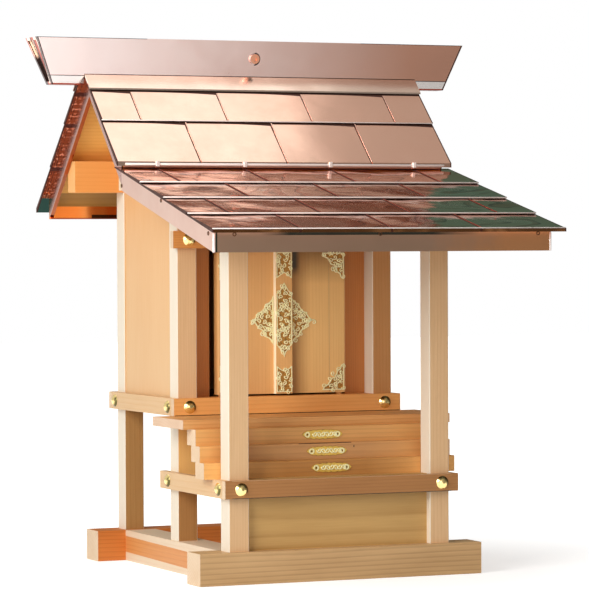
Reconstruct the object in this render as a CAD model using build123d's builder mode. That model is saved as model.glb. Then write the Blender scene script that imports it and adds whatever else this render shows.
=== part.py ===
from build123d import *
from math import asin, atan, cos, degrees, radians, sin, tan
import os

os.makedirs("parts", exist_ok=True)

# A small outdoor wayside shrine in plain cypress with a copper-sheet roof.
# Millimetres. Origin under the middle of the whole object, at the foot of the base.
# +X is to the right along the front, -Y is the front with the steps, +Z is up.

# Posts and base frame
post = 21.0
post_x = 108.0
porch_post_y = -112.0
main_post_y = 21.0
rear_post_y = 170.5
post_inner = post_x - post / 2
post_outer = post_x + post / 2
main_front = main_post_y - post / 2
main_back = main_post_y + post / 2
rear_front = rear_post_y - post / 2
rear_back = rear_post_y + post / 2
porch_front = porch_post_y - post / 2
porch_back = porch_post_y + post / 2

beam_height = 31.5
beam_width = 33.0
base_half_length = 151.5
side_beam_x = 104.0

# Rails that clasp the posts
rail_height = 17.5
rail_thick = 7.0
rail_out = post_outer + rail_thick
lower_rail_z = 83.5
upper_rail_z = 157.5
head_rail_z = 325.5
lower_rail_tail = 10.5

# Steps, veranda and the panel between the porch posts
step_height = 15.8
step_depth = 21.6
step_advance = 10.6
step_half_length = 135.8
step_lowest_front = porch_back + 1.1
veranda_half_length = 145.4
veranda_front = -70.5
panel_setback = 7.0
panel_thick = step_lowest_front - porch_front - panel_setback

# Cell of the shrine
wall_thick = 7.0
wall_setback = 1.5
floor_z = upper_rail_z + rail_height
floor_thick = 10.0
doorway_half = 75.5
lintel_z = 326.5
plate_z = 383.5
plate_top = 415.8
plate_half_length = 172.4

# Doors
leaf_outer = 71.2
leaf_gap = 0.5
leaf_front = 19.5
leaf_thick = 11.5
leaf_bottom = floor_z + 2.0
leaf_top = 324.5
pivot_radius = 3.0
pivot_length = 5.0
pivot_clearance = 0.05
pivot_end_gap = 1.0
heel_radius = 2.5
astragal_half = 9.6
astragal_thick = 5.0
astragal_relief = 0.5

# Roof lines: the nominal surface runs through the lower edges of the copper courses
ridge_y = 102.5
ridge_z = 511.5
main_eave_y = 3.2
rear_eave_y = 246.0
porch_eave_y = -246.0
porch_eave_z = 343.8
porch_rise = 0.255
lap_high = 3.2
lap_low = 1.0
lap_lip = 0.9
lap_undercut = 3.0
board_thick = 10.0
board_half_length = 176.0
copper_half_length = 185.0
seam_pitch = 94.5
seam_width = 0.8
seam_depth = 0.7
fascia_thick = 1.3
fascia_corner = 1.2
hem = 3.0
verge_depth = 18.5
porch_verge_depth = 22.0
rear_fascia_y = 227.0
porch_fascia_y = -229.0

# Ridge box and its flashing
ridge_box_top = 539.5
ridge_box_bottom = 492.0
ridge_top_half_length = 239.5
ridge_bottom_half_length = 220.5
ridge_top_width = 34.0
ridge_bottom_width = 16.0
flashing_reach = 24.8
flashing_thick = 1.2
end_rim = 3.2
end_recess = 2.5
boss_radius = 5.5
boss_height = 2.2
boss_eye = 2.0
boss_z = 521.0

# Brass
cover_radius = 6.5
cover_height = 3.5
plate_thick = 0.8


def main_line(y, depth):
    """Height of the steep roof at y, on the line lying depth below its nominal surface."""
    return ridge_z - abs(y - ridge_y) - depth * 2 ** 0.5


def porch_line(y, depth):
    """Height of the porch roof at y, on the line lying depth below its nominal surface."""
    return porch_eave_z + porch_rise * (y - porch_eave_y) - depth * (1 + porch_rise ** 2) ** 0.5


# Base frame: two beams along the front and back, two between them
for name, y in (("base_front_beam", porch_post_y), ("base_rear_beam", rear_post_y)):
    with BuildPart() as base_beam:
        with BuildSketch():
            with Locations((0, y)):
                Rectangle(2 * base_half_length, beam_width)
        extrude(amount=beam_height)
        chamfer(base_beam.edges().filter_by(Axis.X), 0.6)
    base_beam.part.label = name
    export_step(base_beam.part, f"parts/{name}.step")

side_beam_start = porch_post_y + beam_width / 2
side_beam_end = rear_post_y - beam_width / 2
with BuildPart() as base_side_beams:
    with BuildSketch():
        with Locations((-side_beam_x, side_beam_start), (side_beam_x, side_beam_start)):
            Rectangle(beam_width, side_beam_end - side_beam_start, align=(Align.CENTER, Align.MIN))
    extrude(amount=beam_height)
base_side_beams.part.label = "base_side_beams"
export_step(base_side_beams.part, "parts/base_side_beams.step")

# Three pairs of posts standing on the base frame
porch_beam_z = 335.0
post_rows = (
    ("rear_posts", rear_post_y, plate_z),
    ("main_posts", main_post_y, plate_z),
    ("porch_posts", porch_post_y, porch_beam_z),
)
for name, y, top in post_rows:
    with BuildPart() as posts:
        with BuildSketch(Plane.XY.offset(beam_height)):
            with Locations((-post_x, y), (post_x, y)):
                Rectangle(post, post)
        extrude(amount=top - beam_height)
        chamfer(posts.edges().filter_by(Axis.Z), 0.6)
    posts.part.label = name
    export_step(posts.part, f"parts/{name}.step")

# Rails: cross rails lap over the ends of the side rails
cross_rails = (
    ("lower_rail_front", porch_front - rail_thick, lower_rail_z),
    ("upper_rail_front", main_front - rail_thick, upper_rail_z),
    ("upper_rail_rear", rear_back, upper_rail_z),
    ("head_rail", main_front - rail_thick, head_rail_z),
)
for name, y, z in cross_rails:
    with BuildPart() as cross_rail:
        with BuildSketch(Plane.XY.offset(z)):
            with Locations((0, y)):
                Rectangle(2 * rail_out, rail_thick, align=(Align.CENTER, Align.MIN))
        extrude(amount=rail_height)
        chamfer(cross_rail.edges().filter_by(Axis.X), 0.5)
    cross_rail.part.label = name
    export_step(cross_rail.part, f"parts/{name}.step")

side_rail_x = post_outer + rail_thick / 2
side_rails = (
    ("lower_rail_sides", porch_front, main_back + lower_rail_tail, lower_rail_z),
    ("upper_rail_sides", main_front, rear_back, upper_rail_z),
)
for name, start, end, z in side_rails:
    with BuildPart() as side_rail:
        with BuildSketch(Plane.XY.offset(z)):
            with Locations((-side_rail_x, start), (side_rail_x, start)):
                Rectangle(rail_thick, end - start, align=(Align.CENTER, Align.MIN))
        extrude(amount=rail_height)
    side_rail.part.label = name
    export_step(side_rail.part, f"parts/{name}.step")

# Three step boards stacked on the lower rails, each set back from the one below
lower_rail_top = lower_rail_z + rail_height
for i, name in enumerate(("step_lower", "step_middle", "step_upper")):
    with BuildPart() as step:
        with BuildSketch(Plane.XY.offset(lower_rail_top + i * step_height)):
            with Locations((0, step_lowest_front + i * step_advance)):
                Rectangle(2 * step_half_length, step_depth, align=(Align.CENTER, Align.MIN))
        extrude(amount=step_height)
        chamfer(step.edges().filter_by(Axis.X).group_by(Axis.Z)[-1], 0.6)
    step.part.label = name
    export_step(step.part, f"parts/{name}.step")

# Veranda board between the top step and the main posts, under the upper rail
veranda_z = lower_rail_top + 3 * step_height
with BuildPart() as veranda_board:
    with BuildSketch(Plane.XY.offset(veranda_z)):
        with Locations((0, veranda_front)):
            Rectangle(2 * veranda_half_length, main_front - veranda_front, align=(Align.CENTER, Align.MIN))
    extrude(amount=upper_rail_z - veranda_z)
veranda_board.part.label = "veranda_board"
export_step(veranda_board.part, "parts/veranda_board.step")

# Panel between the porch posts, set back behind the lower rail
with BuildPart() as porch_panel:
    with BuildSketch(Plane.XY.offset(beam_height)):
        with Locations((0, porch_front + panel_setback)):
            Rectangle(2 * post_inner, panel_thick, align=(Align.CENTER, Align.MIN))
    extrude(amount=lower_rail_top - beam_height)
porch_panel.part.label = "porch_panel"
export_step(porch_panel.part, "parts/porch_panel.step")

# Side walls between the posts, rising to the underside of the roof boards
board_under = lap_high + board_thick
wall_outer = post_outer - wall_setback
wall_inner = wall_outer - wall_thick
for name, x in (("side_wall_left", -wall_outer), ("side_wall_right", wall_inner)):
    with BuildPart() as side_wall:
        with BuildSketch(Plane.YZ.offset(x)):
            with BuildLine():
                Polyline(
                    (main_back, upper_rail_z),
                    (rear_front, upper_rail_z),
                    (rear_front, main_line(rear_front, board_under)),
                    (ridge_y, main_line(ridge_y, board_under)),
                    (main_back, main_line(main_back, board_under)),
                    close=True,
                )
            make_face()
        extrude(amount=wall_thick)
    side_wall.part.label = name
    export_step(side_wall.part, f"parts/{name}.step")

# Rear wall between the rear posts
rear_wall_y = rear_back - wall_setback - wall_thick
with BuildPart() as rear_wall:
    with BuildSketch(Plane.XY.offset(upper_rail_z)):
        with Locations((0, rear_wall_y)):
            Rectangle(2 * post_inner, wall_thick, align=(Align.CENTER, Align.MIN))
    extrude(amount=plate_z - upper_rail_z)
rear_wall.part.label = "rear_wall"
export_step(rear_wall.part, "parts/rear_wall.step")

# Floor board of the cell, notched round the rear posts
with BuildPart() as floor_board:
    with BuildSketch(Plane.XY.offset(floor_z - floor_thick)):
        with Locations((0, main_back)):
            Rectangle(2 * wall_inner, rear_front - main_back, align=(Align.CENTER, Align.MIN))
        with Locations((0, rear_front)):
            Rectangle(2 * post_inner, rear_wall_y - rear_front, align=(Align.CENTER, Align.MIN))
    extrude(amount=floor_thick)
floor_board.part.label = "floor_board"
export_step(floor_board.part, "parts/floor_board.step")

# Sill and lintel between the main posts, bored for the door pivots
pivot_x = leaf_outer - leaf_thick / 2
pivot_y = leaf_front + leaf_thick / 2
for name, z, bore_z in (("door_sill", upper_rail_z, floor_z), ("door_lintel", lintel_z, lintel_z)):
    with BuildPart() as pivot_beam:
        with BuildSketch(Plane.XY.offset(z)):
            with Locations((0, main_post_y)):
                Rectangle(2 * post_inner, post)
        extrude(amount=rail_height)
        bore_plane = Plane.XY.offset(bore_z)
        bore_depth = pivot_length + pivot_end_gap
        if name == "door_sill":
            bore_depth = -bore_depth
        with BuildSketch(bore_plane):
            with Locations((-pivot_x, pivot_y), (pivot_x, pivot_y)):
                Circle(pivot_radius + pivot_clearance)
        extrude(amount=bore_depth, mode=Mode.SUBTRACT)
    pivot_beam.part.label = name
    export_step(pivot_beam.part, f"parts/{name}.step")

# Boards beside and over the doorway, nailed to the backs of the main posts
with BuildPart() as front_boards:
    with BuildSketch(Plane.XY.offset(floor_z)):
        board_centre = (doorway_half + wall_inner) / 2
        with Locations((-board_centre, main_back), (board_centre, main_back)):
            Rectangle(wall_inner - doorway_half, wall_thick, align=(Align.CENTER, Align.MIN))
    extrude(amount=lintel_z - floor_z)
front_boards.part.label = "front_boards"
export_step(front_boards.part, "parts/front_boards.step")

transom_back = main_back + wall_thick
with BuildPart() as transom_board:
    with BuildSketch(Plane.YZ):
        with BuildLine():
            Polyline(
                (main_back, lintel_z),
                (transom_back, lintel_z),
                (transom_back, main_line(transom_back, board_under)),
                (main_back, main_line(main_back, board_under)),
                close=True,
            )
        make_face()
    extrude(amount=wall_inner, both=True)
transom_board.part.label = "transom_board"
export_step(transom_board.part, "parts/transom_board.step")

# Plates on the post tops, bevelled where the roof boards bear on them
front_bevel_y = ridge_y - (main_line(ridge_y, board_under) - plate_top)
rear_bevel_y = ridge_y + (main_line(ridge_y, board_under) - plate_top)
plate_outlines = (
    ("front_plate", (
        (main_front, plate_z),
        (main_back, plate_z),
        (main_back, plate_top),
        (front_bevel_y, plate_top),
        (main_front, main_line(main_front, board_under)),
    )),
    ("rear_plate", (
        (rear_front, plate_z),
        (rear_back, plate_z),
        (rear_back, main_line(rear_back, board_under)),
        (rear_bevel_y, plate_top),
        (rear_front, plate_top),
    )),
)
for name, outline in plate_outlines:
    with BuildPart() as wall_plate:
        with BuildSketch(Plane.YZ):
            with BuildLine():
                Polyline(*outline, close=True)
            make_face()
        extrude(amount=plate_half_length, both=True)
    wall_plate.part.label = name
    export_step(wall_plate.part, f"parts/{name}.step")

# Beam across the porch posts, its top following the porch roof
with BuildPart() as porch_beam:
    with BuildSketch(Plane.YZ):
        with BuildLine():
            Polyline(
                (porch_front, porch_beam_z),
                (porch_back, porch_beam_z),
                (porch_back, porch_line(porch_back, board_under)),
                (porch_front, porch_line(porch_front, board_under)),
                close=True,
            )
        make_face()
    extrude(amount=post_outer, both=True)
porch_beam.part.label = "porch_beam"
export_step(porch_beam.part, "parts/porch_beam.step")

# Roof boards: steep front and rear, and the shallow porch
porch_board_start = porch_fascia_y + fascia_thick
rear_board_end = rear_fascia_y - fascia_thick
board_outlines = (
    ("roof_board_front", (
        (ridge_y, main_line(ridge_y, lap_high)),
        (ridge_y, main_line(ridge_y, board_under)),
        (main_front, main_line(main_front, board_under)),
        (main_front, main_line(main_front, lap_high)),
    )),
    ("roof_board_rear", (
        (ridge_y, main_line(ridge_y, lap_high)),
        (rear_board_end, main_line(rear_board_end, lap_high)),
        (rear_board_end, main_line(rear_board_end, board_under)),
        (ridge_y, main_line(ridge_y, board_under)),
    )),
    ("porch_board", (
        (main_front, porch_line(main_front, lap_high)),
        (main_front, porch_line(main_front, board_under)),
        (porch_board_start, porch_line(porch_board_start, board_under)),
        (porch_board_start, porch_line(porch_board_start, lap_high)),
    )),
)
for name, outline in board_outlines:
    with BuildPart() as roof_board:
        with BuildSketch(Plane.YZ):
            with BuildLine():
                Polyline(*outline, close=True)
            make_face()
        extrude(amount=board_half_length, both=True)
    roof_board.part.label = name
    export_step(roof_board.part, f"parts/{name}.step")


def lapped_profile(line, edges):
    """Section of a copper slope: edges are the y of its top and of each course's lower edge."""
    undercut = lap_undercut if edges[0] > edges[-1] else -lap_undercut
    points = [(edges[0], line(edges[0], lap_high)), (edges[0], line(edges[0], lap_high - lap_low))]
    for edge in edges[1:-1]:
        points.append((edge, line(edge, 0)))
        points.append((edge, line(edge, lap_lip)))
        points.append((edge + undercut, line(edge + undercut, lap_lip)))
        points.append((edge + undercut, line(edge + undercut, lap_high - lap_low)))
    points.append((edges[-1], line(edges[-1], 0)))
    points.append((edges[-1], line(edges[-1], lap_high)))
    return points


# Copper courses, each lapped over the one below, with seams in brick bond
main_course_y = 46.4
rear_courses = (ridge_y, 158.6, 202.3, rear_eave_y)
front_courses = (ridge_y, main_course_y, main_eave_y)
porch_pitch = (main_eave_y - porch_eave_y) / 4
porch_courses = (main_front,) + tuple(main_eave_y - porch_pitch * i for i in range(1, 5))
copper_slopes = (
    ("copper_front", main_line, front_courses),
    ("copper_rear", main_line, rear_courses),
    ("copper_porch", porch_line, porch_courses),
)
for name, line, edges in copper_slopes:
    with BuildPart() as copper:
        with BuildSketch(Plane.YZ):
            with BuildLine():
                Polyline(*lapped_profile(line, edges), close=True)
            make_face()
        extrude(amount=copper_half_length, both=True)
        for course, (upper, lower) in enumerate(zip(edges[:-1], edges[1:])):
            seams = (-1.5, -0.5, 0.5, 1.5) if course % 2 == 0 else (-1, 0, 1)
            for seam in seams:
                with BuildSketch(Plane.YZ.offset(seam * seam_pitch - seam_width / 2)):
                    with BuildLine():
                        Polyline(
                            (upper, line(upper, lap_high - lap_low + seam_depth)),
                            (lower, line(lower, seam_depth)),
                            (lower, line(lower, -lap_high)),
                            (upper, line(upper, -lap_high)),
                            close=True,
                        )
                    make_face()
                extrude(amount=seam_width, mode=Mode.SUBTRACT)
    copper.part.label = name
    export_step(copper.part, f"parts/{name}.step")

# Main fascia: both gables and the rear eave in one folded band, hemmed in under the boards
verge_bottom = lap_high + verge_depth
hem_top = verge_bottom - fascia_thick


def gable_band(outer_depth, inner_depth):
    """Points of a band that follows both steep slopes between two depths."""
    return (
        (main_front, main_line(main_front, outer_depth)),
        (ridge_y, main_line(ridge_y, outer_depth)),
        (rear_fascia_y, main_line(rear_fascia_y, outer_depth)),
        (rear_fascia_y, main_line(rear_fascia_y, inner_depth)),
        (ridge_y, main_line(ridge_y, inner_depth)),
        (main_front, main_line(main_front, inner_depth)),
    )


rear_fascia_bottom = main_line(rear_fascia_y, verge_bottom)
with BuildPart() as main_fascia:
    for side in (-1, 1):
        with BuildSketch(Plane.YZ.offset(side * board_half_length)):
            with BuildLine():
                Polyline(*gable_band(lap_high, verge_bottom), close=True)
            make_face()
        extrude(amount=side * fascia_thick)
        with BuildSketch(Plane.YZ.offset(side * board_half_length)):
            with BuildLine():
                Polyline(*gable_band(hem_top, verge_bottom), close=True)
            make_face()
        extrude(amount=-side * hem)
    with BuildSketch(Plane.YZ):
        with BuildLine():
            Polyline(
                (rear_fascia_y, main_line(rear_fascia_y, lap_high)),
                (rear_board_end, main_line(rear_board_end, lap_high)),
                (rear_board_end, rear_fascia_bottom + fascia_thick),
                (rear_board_end - hem, rear_fascia_bottom + fascia_thick),
                (rear_board_end - hem, rear_fascia_bottom),
                (rear_fascia_y, rear_fascia_bottom),
                close=True,
            )
        make_face()
    extrude(amount=board_half_length, both=True)
main_fascia.part.label = "main_fascia"
export_step(main_fascia.part, "parts/main_fascia.step")

# Porch fascia: front and two sides in one folded band
porch_verge_bottom = lap_high + porch_verge_depth
porch_fascia_bottom = porch_line(porch_fascia_y, porch_verge_bottom)
with BuildPart() as porch_fascia:
    for side in (-1, 1):
        with BuildSketch(Plane.YZ.offset(side * board_half_length)):
            with BuildLine():
                Polyline(
                    (main_front, porch_line(main_front, lap_high)),
                    (main_front, porch_line(main_front, porch_verge_bottom)),
                    (porch_fascia_y, porch_line(porch_fascia_y, porch_verge_bottom)),
                    (porch_fascia_y, porch_line(porch_fascia_y, lap_high)),
                    close=True,
                )
            make_face()
        extrude(amount=side * fascia_thick)
        with BuildSketch(Plane.YZ.offset(side * board_half_length)):
            with BuildLine():
                Polyline(
                    (main_front, porch_line(main_front, porch_verge_bottom - fascia_thick)),
                    (main_front, porch_line(main_front, porch_verge_bottom)),
                    (porch_fascia_y, porch_line(porch_fascia_y, porch_verge_bottom)),
                    (porch_fascia_y, porch_line(porch_fascia_y, porch_verge_bottom - fascia_thick)),
                    close=True,
                )
            make_face()
        extrude(amount=-side * hem)
    with BuildSketch(Plane.YZ):
        with BuildLine():
            Polyline(
                (porch_fascia_y, porch_line(porch_fascia_y, lap_high)),
                (porch_board_start, porch_line(porch_board_start, lap_high)),
                (porch_board_start, porch_fascia_bottom + fascia_thick),
                (porch_board_start + hem, porch_fascia_bottom + fascia_thick),
                (porch_board_start + hem, porch_fascia_bottom),
                (porch_fascia_y, porch_fascia_bottom),
                close=True,
            )
        make_face()
    extrude(amount=board_half_length, both=True)
    upright = porch_fascia.edges().filter_by(Axis.Z).group_by(Axis.Y)[0].sort_by(Axis.X)
    fillet((upright[0], upright[-1]), fascia_corner)
porch_fascia.part.label = "porch_fascia"
export_step(porch_fascia.part, "parts/porch_fascia.step")

# Flashing saddled over the ridge
flashing_front = ridge_y - flashing_reach
flashing_rear = ridge_y + flashing_reach
with BuildPart() as ridge_flashing:
    with BuildSketch(Plane.YZ):
        with BuildLine():
            Polyline(
                (flashing_front, main_line(flashing_front, 0)),
                (flashing_front, main_line(flashing_front, -flashing_thick)),
                (ridge_y, main_line(ridge_y, -flashing_thick)),
                (flashing_rear, main_line(flashing_rear, -flashing_thick)),
                (flashing_rear, main_line(flashing_rear, 0)),
                (ridge_y, main_line(ridge_y, 0)),
                close=True,
            )
        make_face()
    extrude(amount=copper_half_length + 1, both=True)
ridge_flashing.part.label = "ridge_flashing"
export_step(ridge_flashing.part, "parts/ridge_flashing.step")

# Ridge box: flared to the top and out to both ends, saddled over the flashing
ridge_box_height = ridge_box_top - ridge_box_bottom
end_lean = degrees(atan((ridge_top_half_length - ridge_bottom_half_length) / ridge_box_height))
face_lean = degrees(atan((ridge_top_width - ridge_bottom_width) / 2 / ridge_box_height))
end_slant = ridge_box_height / cos(radians(end_lean))
end_middle = (ridge_top_half_length + ridge_bottom_half_length) / 2
ridge_middle_z = (ridge_box_top + ridge_box_bottom) / 2
boss_y = ridge_y - ridge_bottom_width / 2 - (boss_z - ridge_box_bottom) * tan(radians(face_lean))
boss_plane = Plane(origin=(0, boss_y, boss_z), x_dir=(1, 0, 0), z_dir=(0, -1, -tan(radians(face_lean))))
with BuildPart() as ridge_box:
    with BuildSketch(Plane.XY.offset(ridge_box_bottom)):
        with Locations((0, ridge_y)):
            Rectangle(2 * ridge_bottom_half_length, ridge_bottom_width)
    with BuildSketch(Plane.XY.offset(ridge_box_top)):
        with Locations((0, ridge_y)):
            Rectangle(2 * ridge_top_half_length, ridge_top_width)
    loft()
    for side in (-1, 1):
        end_plane = Plane(
            origin=(side * end_middle, ridge_y, ridge_middle_z),
            x_dir=(0, side, 0),
            z_dir=(side * cos(radians(end_lean)), 0, -sin(radians(end_lean))),
        )
        with BuildSketch(end_plane):
            with BuildLine():
                Polyline(
                    (end_rim - ridge_bottom_width / 2, end_rim - end_slant / 2),
                    (ridge_bottom_width / 2 - end_rim, end_rim - end_slant / 2),
                    (ridge_top_width / 2 - end_rim, end_slant / 2 - end_rim),
                    (end_rim - ridge_top_width / 2, end_slant / 2 - end_rim),
                    close=True,
                )
            make_face()
        extrude(amount=-end_recess, mode=Mode.SUBTRACT)
    with BuildSketch(Plane.YZ):
        with BuildLine():
            Polyline(
                (flashing_front, main_line(flashing_front, -flashing_thick)),
                (ridge_y, main_line(ridge_y, -flashing_thick)),
                (flashing_rear, main_line(flashing_rear, -flashing_thick)),
                close=True,
            )
        make_face()
    extrude(amount=copper_half_length + 1, both=True, mode=Mode.SUBTRACT)
    with BuildSketch(boss_plane):
        Circle(boss_radius)
    extrude(amount=boss_height)
    with BuildSketch(boss_plane.offset(boss_height)):
        Circle(boss_eye)
    extrude(amount=-boss_height / 2, mode=Mode.SUBTRACT)
ridge_box.part.label = "ridge_box"
export_step(ridge_box.part, "parts/ridge_box.step")

# Door leaves with turned pivots; the left one carries the astragal
for name, side in (("door_left", -1), ("door_right", 1)):
    with BuildPart() as door_leaf:
        with BuildSketch(Plane.XY.offset(leaf_bottom)):
            with Locations((side * (leaf_gap + leaf_outer) / 2, pivot_y)):
                Rectangle(leaf_outer - leaf_gap, leaf_thick)
        extrude(amount=leaf_top - leaf_bottom)
        heel = door_leaf.edges().filter_by(Axis.Z).sort_by(Axis.X)
        fillet(heel[:2] if side < 0 else heel[-2:], heel_radius)
        with BuildSketch(Plane.XY.offset(leaf_bottom)):
            with Locations((side * pivot_x, pivot_y)):
                Circle(pivot_radius)
        extrude(amount=-(leaf_bottom - floor_z + pivot_length))
        with BuildSketch(Plane.XY.offset(leaf_top)):
            with Locations((side * pivot_x, pivot_y)):
                Circle(pivot_radius)
        extrude(amount=lintel_z - leaf_top + pivot_length)
    door_leaf.part.label = name
    export_step(door_leaf.part, f"parts/{name}.step")

with BuildPart() as astragal:
    with BuildSketch(Plane.XY.offset(leaf_bottom)):
        with BuildLine():
            Polyline(
                (-astragal_half, leaf_front),
                (-astragal_half, leaf_front - astragal_thick),
                (astragal_half, leaf_front - astragal_thick),
                (astragal_half, leaf_front - astragal_relief),
                (-leaf_gap, leaf_front - astragal_relief),
                (-leaf_gap, leaf_front),
                close=True,
            )
        make_face()
    extrude(amount=leaf_top - leaf_bottom)
    chamfer(astragal.edges().filter_by(Axis.Z).group_by(Axis.Y)[0], 0.8)
astragal.part.label = "astragal"
export_step(astragal.part, "parts/astragal.step")

# Domed nail covers where the rails cross the posts
rail_mid = rail_height / 2
front_cover_rows = (
    (porch_front - rail_thick, lower_rail_z + rail_mid),
    (main_front - rail_thick, upper_rail_z + rail_mid),
    (main_front - rail_thick, head_rail_z + rail_mid),
)
side_cover_spots = (
    (porch_post_y, lower_rail_z + rail_mid),
    (main_post_y, lower_rail_z + rail_mid),
    (main_post_y, upper_rail_z + rail_mid),
    (rear_post_y, upper_rail_z + rail_mid),
)
cover_planes = []
for x in (-post_x, post_x):
    for y, z in front_cover_rows:
        cover_planes.append(Plane(origin=(x, y, z), x_dir=(1, 0, 0), z_dir=(0, -1, 0)))
    cover_planes.append(Plane(
        origin=(x, rear_back + rail_thick, upper_rail_z + rail_mid), x_dir=(-1, 0, 0), z_dir=(0, 1, 0),
    ))
for side in (-1, 1):
    for y, z in side_cover_spots:
        cover_planes.append(Plane(origin=(side * rail_out, y, z), x_dir=(0, 1, 0), z_dir=(side, 0, 0)))
dome_radius = (cover_radius ** 2 + cover_height ** 2) / (2 * cover_height)
dome_edge = degrees(asin((dome_radius - cover_height) / dome_radius))
with BuildPart() as nail_covers:
    for plane in cover_planes:
        with BuildSketch(Plane(origin=plane.origin, x_dir=plane.x_dir, z_dir=-plane.y_dir)):
            with BuildLine():
                Line((0, 0), (cover_radius, 0))
                CenterArc((0, cover_height - dome_radius), dome_radius, dome_edge, 90 - dome_edge)
                Line((0, cover_height), (0, 0))
            make_face()
        revolve(axis=Axis(plane.origin, plane.z_dir))
nail_covers.part.label = "nail_covers"
export_step(nail_covers.part, "parts/nail_covers.step")

# Lens-shaped brass plates on the risers
riser_plate_length = 43.5
riser_plate_height = 9.5
riser_end = riser_plate_length / 2
with BuildPart() as riser_plates:
    for i in range(3):
        riser_y = step_lowest_front + i * step_advance
        riser_z = lower_rail_top + (i + 0.5) * step_height
        with BuildSketch(Plane(origin=(0, riser_y, riser_z), x_dir=(1, 0, 0), z_dir=(0, -1, 0))):
            with BuildLine():
                ThreePointArc((-riser_end, 0), (0, riser_plate_height / 2), (riser_end, 0))
                ThreePointArc((riser_end, 0), (0, -riser_plate_height / 2), (-riser_end, 0))
            make_face()
        extrude(amount=plate_thick)
riser_plates.part.label = "riser_plates"
export_step(riser_plates.part, "parts/riser_plates.step")

# Brass plates on the doors: half lozenges at mid height and triangles in the corners
door_mid_z = 251.5
lozenge_half_height = 26.0
lozenge_reach = 36.5
lozenge_start = astragal_half + 0.3
corner_leg = 24.5
corner_height = 27.5
corner_margin = 2.2
strap_half = 8.4
strap_half_height = 38.0
strap_shoulder = 28.0
strap_end_height = 26.5
strap_notch = 6.0
corner_x = leaf_outer - corner_margin
corner_top_z = leaf_top - 4.0
corner_low_z = leaf_bottom + 2.5


def door_front(y):
    """Plane facing the viewer of the doors, at depth y."""
    return Plane(origin=(0, y, 0), x_dir=(1, 0, 0), z_dir=(0, -1, 0))


for name, side in (("door_plates_left", -1), ("door_plates_right", 1)):
    with BuildPart() as door_plates:
        with BuildSketch(door_front(leaf_front)):
            with BuildLine():
                Polyline(
                    (side * lozenge_start, door_mid_z - lozenge_half_height),
                    (side * lozenge_reach, door_mid_z),
                    (side * lozenge_start, door_mid_z + lozenge_half_height),
                    close=True,
                )
            make_face()
            for z, way in ((corner_top_z, -1), (corner_low_z, 1)):
                with BuildLine():
                    Polyline(
                        (side * corner_x, z),
                        (side * corner_x, z + way * corner_height),
                        (side * (corner_x - corner_leg), z),
                        close=True,
                    )
                make_face()
        extrude(amount=plate_thick, dir=(0, -1, 0))
        if side < 0:
            with BuildSketch(door_front(leaf_front - astragal_thick)):
                with BuildLine():
                    Polyline(
                        (-strap_half, door_mid_z - strap_shoulder),
                        (0, door_mid_z - strap_half_height),
                        (strap_half, door_mid_z - strap_shoulder),
                        (strap_half, door_mid_z + strap_shoulder),
                        (0, door_mid_z + strap_half_height),
                        (-strap_half, door_mid_z + strap_shoulder),
                        close=True,
                    )
                make_face()
                for z, way in ((corner_top_z, -1), (corner_low_z, 1)):
                    with BuildLine():
                        Polyline(
                            (-strap_half, z),
                            (-strap_half, z + way * strap_end_height),
                            (0, z + way * (strap_end_height - strap_notch)),
                            (strap_half, z + way * strap_end_height),
                            (strap_half, z),
                            close=True,
                        )
                    make_face()
            extrude(amount=plate_thick, dir=(0, -1, 0))
    door_plates.part.label = name
    export_step(door_plates.part, f"parts/{name}.step")
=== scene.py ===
# %% [markdown]
# A small wayside shrine in bare cypress under a polished copper roof.
# The joinery and the roof come ready-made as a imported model, in metres, and this
# script gives them their finishes, adds the thin pierced brass fittings and the
# screws, and sets up a plain studio with a camera at the photograph's angle.

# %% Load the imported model
import math

import bpy
from mathutils import Matrix, Vector


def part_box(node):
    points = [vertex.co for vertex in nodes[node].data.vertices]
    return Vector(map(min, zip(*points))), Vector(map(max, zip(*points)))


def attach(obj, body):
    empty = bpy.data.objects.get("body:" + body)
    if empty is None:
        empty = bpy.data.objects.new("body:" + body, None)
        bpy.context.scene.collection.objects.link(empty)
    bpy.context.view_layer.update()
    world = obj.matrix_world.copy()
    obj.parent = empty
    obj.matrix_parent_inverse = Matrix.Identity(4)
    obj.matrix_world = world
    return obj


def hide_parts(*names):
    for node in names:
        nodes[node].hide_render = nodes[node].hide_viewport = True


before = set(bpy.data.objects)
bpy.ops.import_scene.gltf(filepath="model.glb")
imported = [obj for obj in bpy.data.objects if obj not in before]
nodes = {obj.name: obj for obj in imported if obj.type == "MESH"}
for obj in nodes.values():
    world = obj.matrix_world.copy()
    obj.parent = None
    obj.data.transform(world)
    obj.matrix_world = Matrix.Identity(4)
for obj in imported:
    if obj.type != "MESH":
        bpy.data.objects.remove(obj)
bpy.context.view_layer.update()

# %% [markdown]
# The photograph was taken from the left, almost level with the middle of the shrine,
# through a long lens. A camera fitted to corners of the base, posts, rails and steps
# gave its place, its two angles and a very small roll, so nothing needs to be shifted.

# %% Camera
camera_place = Vector((-1.34055, -3.0645, 0.33441))
yaw, pitch, roll = math.radians(-23.71), math.radians(-1.06), math.radians(0.24)

ahead = Vector((-math.sin(yaw) * math.cos(pitch), math.cos(yaw) * math.cos(pitch), math.sin(pitch)))
level_right = Vector((math.cos(yaw), math.sin(yaw), 0))
level_up = level_right.cross(ahead)
image_right = math.cos(roll) * level_right - math.sin(roll) * level_up
image_up = math.sin(roll) * level_right + math.cos(roll) * level_up

lens = bpy.data.cameras.new("camera")
lens.lens = 197.99
camera = bpy.data.objects.new("camera", lens)
bpy.context.scene.collection.objects.link(camera)
camera.matrix_world = Matrix((image_right, image_up, -ahead)).transposed().to_4x4()
camera.location = camera_place
bpy.context.scene.camera = camera
bpy.context.scene.view_settings.view_transform = "Standard"
print("camera at", tuple(round(v, 3) for v in camera_place), "lens", lens.lens)

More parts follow.
